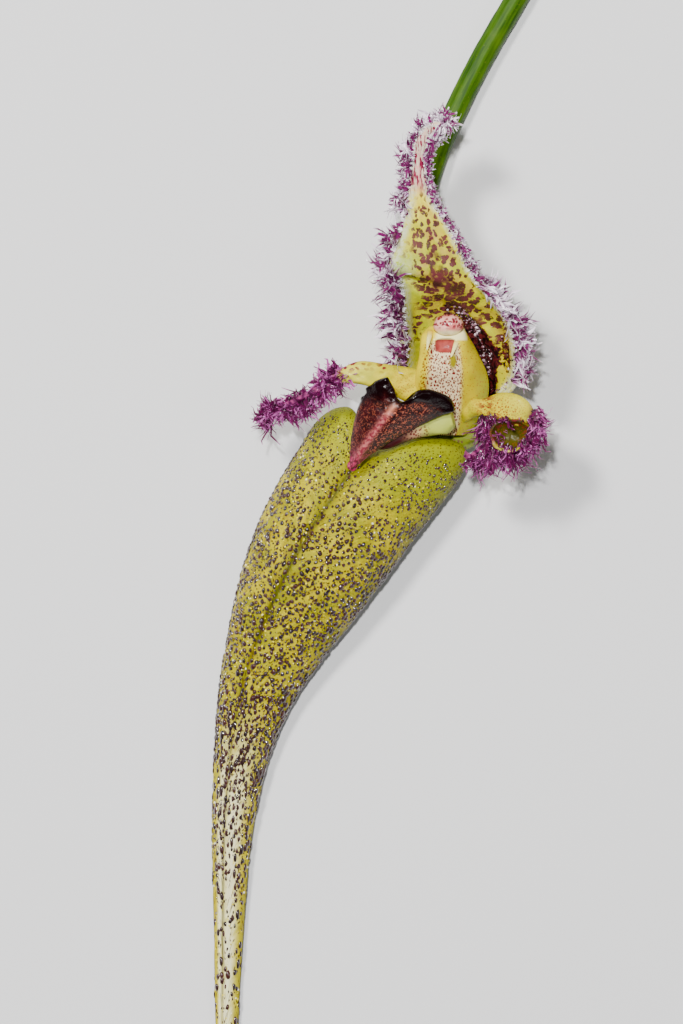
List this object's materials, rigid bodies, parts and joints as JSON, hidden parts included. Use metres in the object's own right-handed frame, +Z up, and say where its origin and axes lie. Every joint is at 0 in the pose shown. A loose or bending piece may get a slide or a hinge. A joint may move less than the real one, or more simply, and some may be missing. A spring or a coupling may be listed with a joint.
{
  "type": "bulbophyllum orchid flower",
  "caption": "Single cut orchid flower lying on its back: long warted tongue of joined sepals, fringed hood and petals, column, dark lip and green stalk.",
  "frame": {"origin": "on the surface that the flower lies on, in the flat strip under the tongue's right margin", "axes": "+Y from the tongue towards the hood's tip, +X to the right as one looks down on the flower, +Z up"},
  "size_m": [0.035, 0.1511, 0.0139],
  "materials": {
    "stalk_green": "satin",
    "bract_brown": "matte",
    "ovary_green": "satin",
    "tongue_speckled": "gloss",
    "hood_blotched": "satin",
    "petal_purple": "satin",
    "column_yellow": "gloss",
    "cap_pink": "gloss",
    "lip_maroon": "gloss"
  },
  "bodies": {
    "root": {"peduncle": "stalk_green", "bract": "bract_brown", "pedicel_ovary": "ovary_green", "lateral_sepals": "tongue_speckled", "dorsal_sepal": "hood_blotched", "petal_left": "petal_purple", "petal_right": "petal_purple", "column": "column_yellow", "anther_cap": "cap_pink", "lip": "lip_maroon"}
  },
  "joints": []
}
